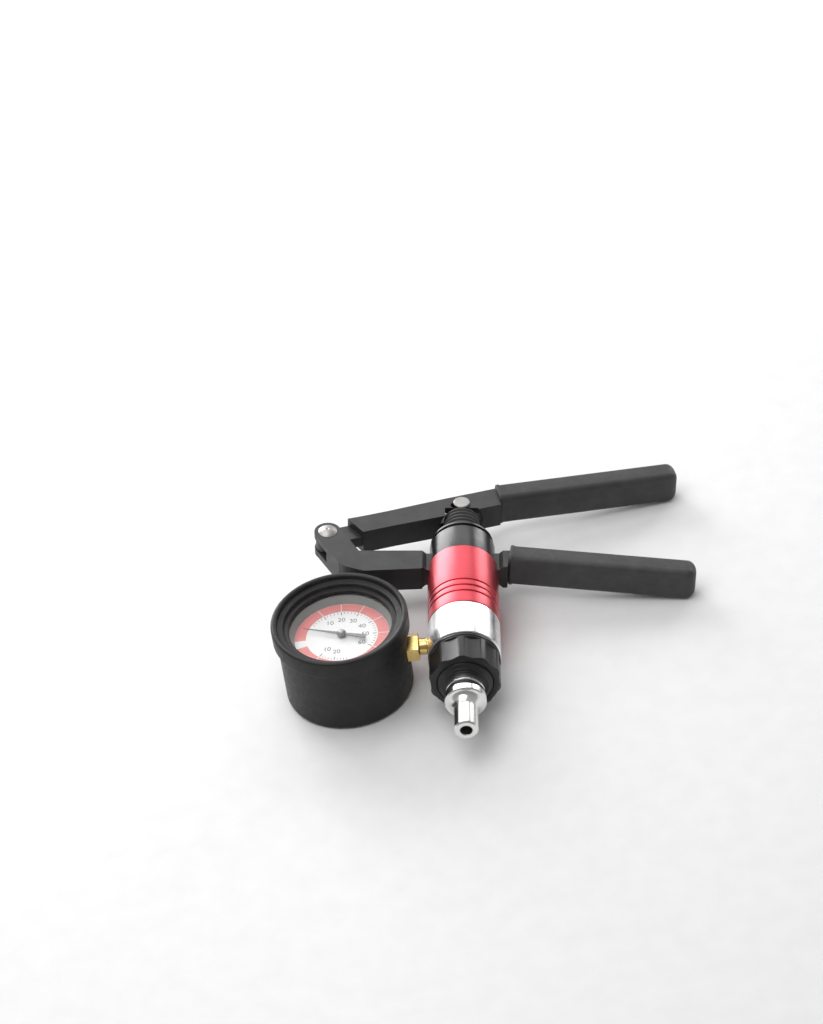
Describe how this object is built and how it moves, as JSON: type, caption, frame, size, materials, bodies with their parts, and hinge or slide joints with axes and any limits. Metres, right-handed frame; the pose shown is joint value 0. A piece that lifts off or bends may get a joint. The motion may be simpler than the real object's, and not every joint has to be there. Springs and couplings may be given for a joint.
{
  "type": "vacuum hand pump with gauge",
  "caption": "Hand vacuum pump with a red barrel, black squeeze handles, a smooth hose nozzle, a selector ring and a rubber-booted dial gauge at its side.",
  "frame": {"origin": "on the barrel's axis, where the straight hose stem begins behind its chamfered tip", "axes": "+Y along the barrel from the nozzle to the lever, +Z out of the dial, -X towards the gauge"},
  "size_m": [0.2118, 0.1949, 0.0461],
  "materials": {
    "bright_chrome": "polished",
    "black_seal_rubber": "matte",
    "black_anodised": "satin",
    "satin_aluminium": "satin",
    "red_anodised": "satin",
    "black_coated_alloy": "satin",
    "grip_rubber": "matte",
    "bare_steel": "satin",
    "yellow_brass": "satin",
    "moulded_piston": "matte",
    "boot_rubber": "matte",
    "case_paint": "satin",
    "dial_white": "matte",
    "dial_ring_grey": "satin",
    "clear_lens": "gloss",
    "pointer_paint": "satin"
  },
  "bodies": {
    "pump_body": {"hose_nozzle": "bright_chrome", "nozzle_seal_ring": "black_seal_rubber", "selector_seal_rings": "black_seal_rubber", "block_seal_ring": "black_seal_rubber", "inlet_valve": "black_seal_rubber", "outlet_valve": "black_seal_rubber", "rod_seal": "black_seal_rubber", "rod_bellows": "black_seal_rubber", "nose_nut": "black_anodised", "top_cap": "black_anodised", "gauge_block": "satin_aluminium", "barrel": "red_anodised", "handle_frame": "black_coated_alloy", "fixed_grip": "grip_rubber", "pivot_rivet": "bare_steel", "return_spring": "bare_steel", "selector_stop_pin": "bare_steel", "valve_plate": "bare_steel", "movement_screws": "bare_steel", "port_nipple": "yellow_brass", "gauge_socket": "yellow_brass", "bourdon_tube": "yellow_brass", "movement_back_plate": "yellow_brass", "movement_front_plate": "yellow_brass", "rod_bush": "yellow_brass", "gauge_boot": "boot_rubber", "gauge_case": "case_paint", "dial_plate": "dial_white", "dial_ring": "dial_ring_grey", "gauge_lens": "clear_lens"},
    "lever": {"lever": "black_coated_alloy", "lever_grip": "grip_rubber"},
    "piston": {"piston_rod": "bare_steel", "rod_pin": "bare_steel", "piston": "moulded_piston", "piston_seal": "black_seal_rubber", "piston_nut": "bare_steel"},
    "selector": {"selector_ring": "black_anodised"},
    "pointer": {"pointer": "pointer_paint", "pinion_arbor": "bare_steel"},
    "sector": {"sector_gear": "yellow_brass"},
    "link": {"tube_link": "yellow_brass"}
  },
  "joints": [
    {"name": "lever_pivot", "type": "hinge", "parent": "pump_body", "child": "lever", "pos_m": [-0.06885, 0.139, 0.00784], "axis": [-0.1132, 0, -0.9936], "range_deg": [0, 11], "stiffness_Nm_per_rad": 1.5, "springref_deg": -8.59},
    {"name": "rod_slide", "type": "slide", "parent": "pump_body", "child": "piston", "axis": [0, -1, 0], "range_m": [0, 0.01407], "deforming": ["return_spring", "rod_bellows"]},
    {"name": "selector_turn", "type": "hinge", "parent": "pump_body", "child": "selector", "pos_m": [0, 0.042, 0], "axis": [0, 1, 0], "range_deg": [0, 90]},
    {"name": "pointer_spin", "type": "hinge", "parent": "pump_body", "child": "pointer", "pos_m": [-0.0595, 0.0613, 0], "axis": [0, 0, 1], "range_deg": [-205, 95]},
    {"name": "sector_swing", "type": "hinge", "parent": "pump_body", "child": "sector", "pos_m": [-0.07394, 0.0613, 0], "axis": [0, 0, 1], "range_deg": [-13.67, 29.39]},
    {"name": "link_slide", "type": "slide", "parent": "pump_body", "child": "link", "axis": [0, 1, 0], "range_m": [-0.00204, 0.00095], "stiffness_N_per_m": 3, "deforming": ["bourdon_tube"]}
  ],
  "couplings": [
    {"joint": "rod_slide", "follows": "lever_pivot", "m_per_rad": 0.072788},
    {"joint": "sector_swing", "follows": "link_slide", "rad_per_m": -250},
    {"joint": "pointer_spin", "follows": "link_slide", "rad_per_m": 1750}
  ]
}
